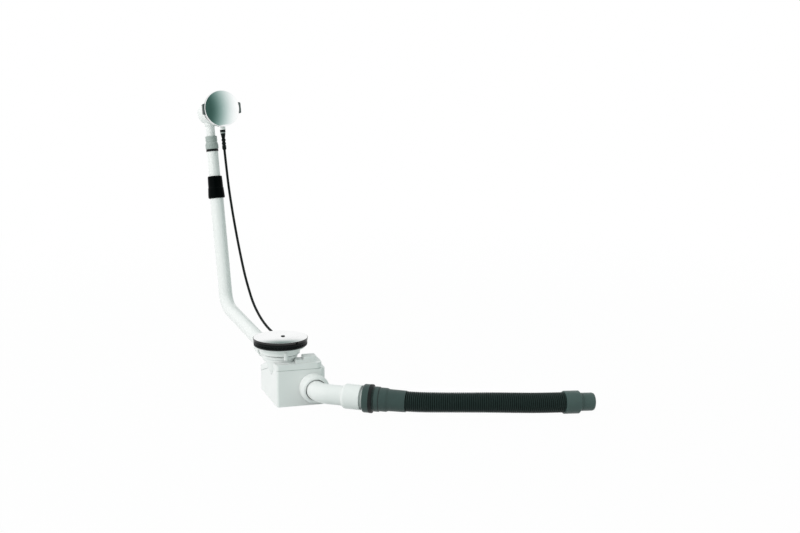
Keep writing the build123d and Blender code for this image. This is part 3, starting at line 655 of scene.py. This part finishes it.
# crest colour is a painted sheen, groove colour a painted shade
HOSE_SKIN = HoseSkin(
    "hose_plastic", (0.016, 0.030, 0.027), shade=(0.0035, 0.007, 0.0065), dust=(0.03, 0.045, 0.042)
)


class Palette:
    """Makes each finish's material once."""

    def __init__(self) -> None:
        """Starts with no material."""
        self._made: Dict[str, bpy.types.Material] = {}

    def material(self, finish: Finish) -> bpy.types.Material:
        """Looks up the material of a finish, and makes it the first time.

        Args:
            finish: The finish.

        Returns:
            Its material.
        """
        if finish.name not in self._made:
            self._made[finish.name] = finish.material()
        return self._made[finish.name]


# Meshes


def put_in_order(shape: bmesh.types.BMesh) -> None:
    """Sorts a shape's parts from low to high, because the operators' own order changes from run to run.

    Args:
        shape: The shape.
    """
    places = sorted(shape.verts, key=lambda vertex: tuple(round(number, ORDER_DIGITS) for number in vertex.co.zyx))
    ranks = {vertex: rank for rank, vertex in enumerate(places)}
    shape.verts.sort(key=ranks.get)
    shape.verts.index_update()
    for parts in (shape.edges, shape.faces):
        joined = sorted(parts, key=lambda part: sorted(vertex.index for vertex in part.verts))
        ranks = {part: rank for rank, part in enumerate(joined)}
        parts.sort(key=ranks.get)


def turned(outline: Sequence[Span], around: int) -> bmesh.types.BMesh:
    """Turns a closed outline about the Z axis.

    Args:
        outline: (radius, height) pairs in order.
        around: The number of steps in the full turn.

    Returns:
        The turned shape, merged and with its faces outwards.
    """
    shape = bmesh.new()
    made = [shape.verts.new((radius, 0.0, height)) for radius, height in outline]
    edges = [shape.edges.new(pair) for pair in zip(made, made[1:] + made[:1])]
    bmesh.ops.spin(
        shape, geom=made + edges, cent=ORIGIN, axis=UPRIGHT, angle=2 * math.pi, steps=around,
        use_merge=True, use_duplicate=False,
    )
    bmesh.ops.remove_doubles(shape, verts=shape.verts, dist=MERGE_GAP)
    bmesh.ops.recalc_face_normals(shape, faces=shape.faces)
    put_in_order(shape)
    return shape


def finished(
    name: str, shape: bmesh.types.BMesh, material: bpy.types.Material, smooth: bool = False
) -> bpy.types.Object:
    """Ends a bmesh as an object at the origin.

    Args:
        name: The object's name.
        shape: The bmesh, which is freed.
        material: Its material.
        smooth: Whether its faces are shaded smooth.

    Returns:
        The object.
    """
    mesh = bpy.data.meshes.new(name)
    shape.to_mesh(mesh)
    shape.free()
    for face in mesh.polygons:
        face.use_smooth = smooth
    mesh.materials.append(material)
    made = bpy.data.objects.new(name, mesh)
    bpy.context.scene.collection.objects.link(made)
    return made


class Route:
    """A line in space that a straight tube is laid along without twist."""

    def __init__(self, points: Sequence[Vector]) -> None:
        """Measures the line and carries its two side directions along it.

        Args:
            points: The line's points in order.
        """
        self.points = list(points)
        self.steps = [0.0]
        for before, after in zip(self.points, self.points[1:]):
            self.steps.append(self.steps[-1] + (after - before).length)
        self._last = len(self.points) - 1
        self._frames: List[Tuple[Vector, Vector]] = []
        side = Vector(UPRIGHT)
        for index in range(len(self.points)):
            way = (self.points[min(index + 1, self._last)] - self.points[max(index - 1, 0)]).normalized()
            side = (side - way * side.dot(way)).normalized()
            self._frames.append((side, way.cross(side)))

    @property
    def length(self) -> float:
        """The line's length."""
        return self.steps[-1]

    def laid(self, place: Vector) -> Vector:
        """Carries a place on the straight tube to the tube along the line.

        Args:
            place: The place, with its distance along the tube as Z.

        Returns:
            The place on the bent tube.
        """
        low = min(max(bisect_right(self.steps, place.z) - 1, 0), self._last - 1)
        high = low + 1
        share = (place.z - self.steps[low]) / (self.steps[high] - self.steps[low])
        centre = self.points[low].lerp(self.points[high], share)
        side, across = (
            before.lerp(after, share).normalized() for before, after in zip(self._frames[low], self._frames[high])
        )
        return centre + side * place.x + across * place.y


# Sub-assemblies


@dataclass
class Assembly:
    """A group of modelled pieces and their finishes."""

    title: str = ""
    finishes: Dict[str, Finish] = field(default_factory=dict)

    def dress(self, palette: Palette) -> None:
        """Gives each piece its finish.

        Args:
            palette: Where the materials come from.
        """
        for node, finish in self.finishes.items():
            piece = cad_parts[node]
            material = palette.material(finish)
            if not piece.material_slots:
                piece.data.materials.append(material)
            for slot in piece.material_slots:
                slot.material = material
            LOG.info("%s: %s in %s", self.title, node, finish.name)


@dataclass
class ControlHead(Assembly):
    """Overflow head with the turning knob."""

    title: str = "control head"
    finishes: Dict[str, Finish] = field(default_factory=lambda: {
        "control_knob": KNOB_CHROME, "knob_spindle": WHITE_PLASTIC, "cable_drum": WHITE_PLASTIC,
        "overflow_flange": BLACK_PLASTIC, "overflow_screws": STEEL, "overflow_gasket": BLACK_RUBBER,
        "overflow_body": WHITE_PLASTIC,
    })


@dataclass
class PullCable(Assembly):
    """Sheathed cable from the head to the waste."""

    title: str = "pull cable"
    finishes: Dict[str, Finish] = field(default_factory=lambda: {
        "cable_gland": BLACK_PLASTIC, "gland_ring": LIGHT_PLASTIC, "cable_sheath": BLACK_PLASTIC, "pull_wire": STEEL,
        "waste_gland": BLACK_PLASTIC,
    })


@dataclass
class OverflowPipe(Assembly):
    """Riser, its couplings and the bend to the waste."""

    title: str = "overflow pipe"
    finishes: Dict[str, Finish] = field(default_factory=lambda: {
        "coupling_nut": LIGHT_PLASTIC, "nut_seal": BLACK_RUBBER, "upper_overflow_pipe": WHITE_PIPE,
        "pipe_sleeve": GLOSSY_RUBBER, "lower_overflow_pipe": WHITE_PIPE, "branch_nut": WHITE_PLASTIC,
        "branch_seal": BLACK_RUBBER,
    })


@dataclass
class WasteInlet(Assembly):
    """Plug, flange, gasket and neck in the bath floor."""

    title: str = "waste inlet"
    finishes: Dict[str, Finish] = field(default_factory=lambda: {
        "plug_cover": CHROME, "cover_screw": BLACK_PLASTIC, "plug_body": WHITE_PLASTIC, "plug_seal": BLACK_RUBBER,
        "waste_flange": STEEL, "flange_screws": STEEL, "waste_gasket": GASKET_RUBBER, "inlet_neck": WHITE_PLASTIC,
        "lift_lever": WHITE_PLASTIC, "lever_pin": STEEL,
    })


@dataclass
class TrapBox(Assembly):
    """Box trap with its lid and cleaning cap."""

    title: str = "trap box"
    finishes: Dict[str, Finish] = field(default_factory=lambda: {
        "trap_body": WHITE_PLASTIC, "trap_lid": WHITE_PLASTIC, "lid_seal": LIGHT_PLASTIC, "cleaning_cap": WHITE_PLASTIC,
    })


@dataclass
class Outlet(Assembly):
    """Outlet elbow, the socket that the hose goes into and the spigot at its far end."""

    title: str = "outlet"
    finishes: Dict[str, Finish] = field(default_factory=lambda: {
        "outlet_nut": WHITE_PLASTIC, "outlet_seal": BLACK_RUBBER, "outlet_elbow": PARTED_WHITE,
        "hose_socket": SOCKET_GREY, "socket_band": BLACK_RUBBER, "socket_seal": BLACK_RUBBER,
        "hose_end_spigot": END_GREY,
    })


@dataclass
class DrainHose:
    """Corrugated drain hose between the socket and the end spigot."""

    bends: Tuple[Point, ...] = (
        SOCKET_MOUTH,
        (0.19017, -0.23042, -0.09176),
        (0.2327, -0.2586, -0.0905),
        (0.2766, -0.2825, -0.0900),
        (0.3225, -0.3024, -0.0905),
        (0.3699, -0.3183, -0.0930),
        (0.4184, -0.3304, -0.0964),
        (0.4676, -0.3395, -0.0990),
    )
    leaves: Point = (0.1774, -0.22079, -0.09132)
    length: float = 0.345
    crest: float = 0.0203
    root: float = 0.0184
    cuff: float = 0.0190
    bore: float = 0.0165
    rounding: float = 0.0003
    pitch: float = 0.0041
    held: float = 0.0285
    around: int = 64
    cuff_steps: int = 8
    bore_steps: int = 48
    spline_order: int = 3
    spline_steps: int = 32

    def route(self) -> Route:
        """Reads the smooth spline through the bends.

        Returns:
            The line that the hose follows.
        """
        curve = bpy.data.curves.new("hose_route", "CURVE")
        curve.dimensions = "3D"
        curve.resolution_u = self.spline_steps
        spline = curve.splines.new("NURBS")
        spline.points.add(len(self.bends) - 1)
        for point, place in zip(spline.points, self.bends):
            point.co = (*place, 1.0)
        spline.order_u = self.spline_order
        spline.use_endpoint_u = True
        carrier = bpy.data.objects.new("hose_route", curve)
        mesh = bpy.data.meshes.new_from_object(carrier)
        points = [vertex.co.copy() for vertex in mesh.vertices]
        bpy.data.meshes.remove(mesh)
        bpy.data.objects.remove(carrier)
        bpy.data.curves.remove(curve)
        return Route(points)

    def ribs(self, length: float) -> int:
        """How many ribs fit beyond the plain cuff."""
        return int((length - self.held) / self.pitch)

    def outline(self, length: float) -> List[Span]:
        """The wall's closed outline.

        Args:
            length: The hose's length.

        Returns:
            (radius, distance) pairs: out along the ribs and back along the bore.
        """
        ribs = self.ribs(length)
        pitch = (length - self.held) / ribs
        shoulder = self.crest - self.rounding
        rib_profile = (
            (0.0, self.root), (0.2, self.root), (0.34, shoulder), (0.48, self.crest), (0.72, self.crest),
            (0.86, shoulder),
        )
        outline = [(self.cuff, self.held * step / self.cuff_steps) for step in range(self.cuff_steps)]
        for rib in range(ribs):
            outline += [(radius, self.held + (rib + share) * pitch) for share, radius in rib_profile]
        outline.append((self.root, length))
        outline += [(self.bore, length * (1.0 - step / self.bore_steps)) for step in range(self.bore_steps + 1)]
        return outline

    def build(self, palette: Palette) -> bpy.types.Object:
        """Turns the wall's outline into a tube and lays it along the route.

        Args:
            palette: Where the material comes from.

        Returns:
            The hose.
        """
        route = self.route()
        shape = turned(self.outline(route.length), self.around)
        groove = shape.verts.layers.float.new(GROOVE)
        for vertex in shape.verts:
            radius = math.hypot(vertex.co.x, vertex.co.y)
            vertex[groove] = min(1.0, max(0.0, (self.crest - radius) / (self.crest - self.root)))
            vertex.co = route.laid(vertex.co)
        hose = finished("drain_hose_ribbed", shape, palette.material(HOSE_SKIN), smooth=True)
        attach(hose, Body.FIXED.value)
        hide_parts("drain_hose")
        self.length
        LOG.info("drain hose: %d ribs over %.3f m", self.ribs(route.length), route.length)
        return hose


@dataclass
class TurnedTrim:
    """A small trim turned about an upright axis."""

    name: str
    body: Body
    finish: Finish
    slot: str
    centre: Span
    outline: Tuple[Span, ...]
    around: int = 96

    def build(self, palette: Palette) -> bpy.types.Object:
        """Turns the outline into a closed piece.

        Args:
            palette: Where the material comes from.

        Returns:
            The piece.
        """
        shape = turned(self.outline, self.around)
        bmesh.ops.translate(shape, verts=shape.verts, vec=(*self.centre, 0.0))
        trim = finished(self.name, shape, palette.material(self.finish))
        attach(trim, self.body.value)
        LOG.info("trim: %s", self.name)
        return trim


COVER_CAP = TurnedTrim(
    "cover_hole_cap", Body.PLUG, BLACK_PLASTIC, "black_plastic", (0.0035, -0.0055),
    ((0.0, 0.0086), (0.00415, 0.0086), (0.00415, 0.0133), (0.0036, 0.0138), (0.0, 0.0138)),
)
# Painted shadow: a thin black ring under the neck's clamp ring, put where only the clamp ring's shadow line falls.
NECK_SHADOW_RING = TurnedTrim(
    "neck_shadow_ring", Body.FIXED, BLACK_RUBBER, "black_rubber", (0.0, 0.0),
    ((0.0343, -0.0222), (0.0360, -0.0222), (0.0364, -0.0230), (0.0360, -0.0238), (0.0343, -0.0238)),
)


# Studio


@dataclass(frozen=True)
class SoftLamp:
    """A square lamp that no gloss shows."""

    name: str
    place: Point
    aim: Point
    size: float
    power: float
    tint: Colour

    def hang(self) -> None:
        """Hangs the lamp, turned to what it is aimed at."""
        data = bpy.data.lights.new(self.name, "AREA")
        data.shape = "SQUARE"
        data.size = self.size
        data.energy = self.power
        data.color = self.tint
        lamp = bpy.data.objects.new(self.name, data)
        lamp.location = self.place
        lamp.rotation_euler = (Vector(self.aim) - Vector(self.place)).to_track_quat("-Z", "Y").to_euler()
        lamp.visible_glossy = False
        bpy.context.scene.collection.objects.link(lamp)
        LOG.info("studio: %s", self.name)


@dataclass(frozen=True)
class Card:
    """An upright card that only the chrome and the gloss show."""

    name: str
    middle: Point
    width: float
    height: float
    unseen_by: Tuple[str, ...] = ("camera", "diffuse", "shadow", "transmission", "volume_scatter")

    def hang(self, material: bpy.types.Material) -> None:
        """Hangs the card.

        Args:
            material: What it shows.
        """
        shape = bmesh.new()
        bmesh.ops.create_grid(shape, x_segments=1, y_segments=1, size=0.5)
        bmesh.ops.scale(shape, verts=shape.verts, vec=(self.width, self.height, 1.0))
        bmesh.ops.rotate(shape, verts=shape.verts, cent=ORIGIN, matrix=Matrix.Rotation(math.pi / 2, 3, "X"))
        bmesh.ops.translate(shape, verts=shape.verts, vec=self.middle)
        card = finished(self.name, shape, material)
        for rays in self.unseen_by:
            setattr(card, f"visible_{rays}", False)
        LOG.info("studio: %s", self.name)


@dataclass
class Studio:
    """Camera, floor, reflected cards and soft light."""

    # Camera, with its turn in degrees
    eye: Point = (-1.1439, -2.9020, 0.7781)
    turn: Point = (78.7, 0.0, -26.0)
    lens: float = 70.59
    sensor: float = 36.0

    # Floor, whose share of white grows with the distance from its middle
    floor_middle: Span = (0.15, 0.0)
    floor_level: float = -0.1242
    floor_size: float = 14.0
    floor_segments: int = 8
    floor_colour: Colour = (0.62, 0.66, 0.65)
    floor_fade: Span = (0.7, 2.2)
    floor_white: Span = (0.98, 1.0)

    # Card in front of the knob, graded by direction from the knob's face
    knob_card: Card = Card("graded_card", (0.9, -1.1, 1.438), width=4.2, height=3.124)
    knob_face: Point = (0.0, 0.322, 0.448)
    knob_level: Span = (0.15, 0.3)
    bright_side: Point = (0.9, 0.436, -0.143)
    grade_span: Span = (-0.67, 0.57)
    grade_tones: Span = (0.09, 1.0)
    grade_tint: Point = (1.35, 1.0, 1.07)
    grade_gain: float = 1.1

    # Card behind, with a soft-edged strip
    cover_card: Card = Card("dark_strip", (1.2, 3.0, 1.54), width=2.4, height=1.2)
    strip_colour: Colour = (0.075, 0.155, 0.135)
    strip_bottom: Span = (1.0, 1.43)
    strip_top: Span = (1.63, 2.08)
    strip_side: Span = (0.8, 1.1)

    # Light on the object
    ambient: Colour = (0.40, 0.47, 0.445)
    lamps: Tuple[SoftLamp, ...] = (
        SoftLamp("key_softbox", (-2.7, -0.25, 1.45), (0.1, 0.0, 0.1), size=2.0, power=61.0, tint=(1.0, 0.945, 0.955)),
        SoftLamp("front_fill", (1.4, -3.2, 1.5), (0.15, -0.1, 0.05), size=2.4, power=14.0, tint=(0.86, 1.0, 0.95)),
        SoftLamp("top_softbox", (0.1, 0.5, 2.6), (0.1, 0.0, 0.0), size=1.8, power=10.0, tint=PURE_WHITE),
        SoftLamp("back_fill", (0.5, 3.0, 1.2), (0.1, 0.0, 0.1), size=2.2, power=15.0, tint=(1.0, 0.98, 0.98)),
    )

    def set_camera(self) -> None:
        """Makes the camera and the view settings."""
        data = bpy.data.cameras.new("camera")
        data.lens = self.lens
        data.sensor_fit = "HORIZONTAL"
        data.sensor_width = self.sensor
        camera = bpy.data.objects.new("camera", data)
        camera.location = self.eye
        camera.rotation_euler = [math.radians(angle) for angle in self.turn]
        bpy.context.scene.collection.objects.link(camera)
        bpy.context.scene.camera = camera
        bpy.context.scene.view_settings.view_transform = "Standard"
        LOG.info("studio: camera")

    def seen(self, bench: Bench) -> Signal:
        """1 for a ray from the camera, from gloss or through glass, and 0 for the light's own rays."""
        camera, glossy, through = (bench.node("ShaderNodeLightPath", {}, {}, ray.value) for ray in Ray)
        return camera.above(glossy).above(through)

    def lay_floor(self) -> None:
        """Makes the pale floor, which fades to white away from the object and keeps its shadow."""
        material, bench = new_bench("studio_floor")
        distance = bench.length(bench.moved(bench.place(), (*self.floor_middle, 0.0)))
        share = self.seen(bench) * distance.ease(*self.floor_fade, *self.floor_white)
        matt = bench.node("ShaderNodeBsdfDiffuse", {}, {"Color": with_alpha(self.floor_colour)})
        bench.end(bench.node("ShaderNodeMixShader", {}, {0: share, 1: matt, 2: bench.emission(PURE_WHITE)}))
        shape = bmesh.new()
        bmesh.ops.create_grid(
            shape, x_segments=self.floor_segments, y_segments=self.floor_segments, size=self.floor_size / 2
        )
        bmesh.ops.translate(shape, verts=shape.verts, vec=(*self.floor_middle, self.floor_level))
        floor = finished("studio_floor", shape, material)
        LOG.info("studio: floor")

    def hang_knob_card(self) -> None:
        """Hangs the card that the knob faces, graded from dark to bright and white to rays that start lower down."""
        material, bench = new_bench(self.knob_card.name)
        place = bench.place()
        away = bench.moved(place, self.knob_face)
        side = bench.along(away, self.bright_side) / bench.length(away)
        grade = side.ease(*self.grade_span, *self.grade_tones)
        tint = [grade.power(exponent) * self.grade_gain for exponent in self.grade_tint]
        graded = bench.node("ShaderNodeCombineColor", {}, dict(enumerate(tint)))
        back = bench.part(bench.node("ShaderNodeNewGeometry", {}, {}, "Incoming"), Axis.Z)
        start = bench.part(place, Axis.Z) + back * bench.node("ShaderNodeLightPath", {}, {}, "Ray Length")
        bench.end(bench.emission(bench.mix(start.ease(*self.knob_level), PURE_WHITE, graded)))
        self.knob_card.hang(material)

    def hang_cover_card(self) -> None:
        """Hangs the card with the dark strip that the cover's front edge shows."""
        material, bench = new_bench(self.cover_card.name)
        place = bench.place()
        height = bench.part(place, Axis.Z)
        aside = abs(bench.part(place, Axis.X) - self.cover_card.middle[Axis.X.value])
        dark = height.ease(*self.strip_bottom) * height.ease(*self.strip_top, 1.0, 0.0)
        dark = dark * aside.ease(*self.strip_side, 1.0, 0.0)
        bench.end(bench.emission(bench.mix(dark, PURE_WHITE, self.strip_colour)))
        self.cover_card.hang(material)

    def light(self) -> None:
        """Hangs the lamps and makes the world, white where it is seen and a soft light elsewhere."""
        for lamp in self.lamps:
            lamp.hang()
        world = bpy.data.worlds.new("studio")
        world.use_nodes = True
        bpy.context.scene.world = world
        bench = Bench(world.node_tree)
        colour = bench.mix(self.seen(bench), self.ambient, PURE_WHITE)
        sky = bench.node("ShaderNodeBackground", {}, {"Color": colour, "Strength": 1.0})
        bench.node("ShaderNodeOutputWorld", {}, {"Surface": sky})
        LOG.info("studio: world")


def main() -> None:
    """Builds the hose, the trims, the finishes and the studio."""
    logging.basicConfig(level=logging.INFO, format="%(name)s %(message)s")
    palette = Palette()
    studio = Studio()
    studio.set_camera()
    DrainHose().build(palette)
    for trim in (COVER_CAP, NECK_SHADOW_RING):
        trim.build(palette)
    for assembly in (ControlHead(), PullCable(), OverflowPipe(), WasteInlet(), TrapBox(), Outlet()):
        assembly.dress(palette)
    studio.lay_floor()
    studio.hang_knob_card()
    studio.hang_cover_card()
    studio.light()


if __name__ == "__main__":
    main()
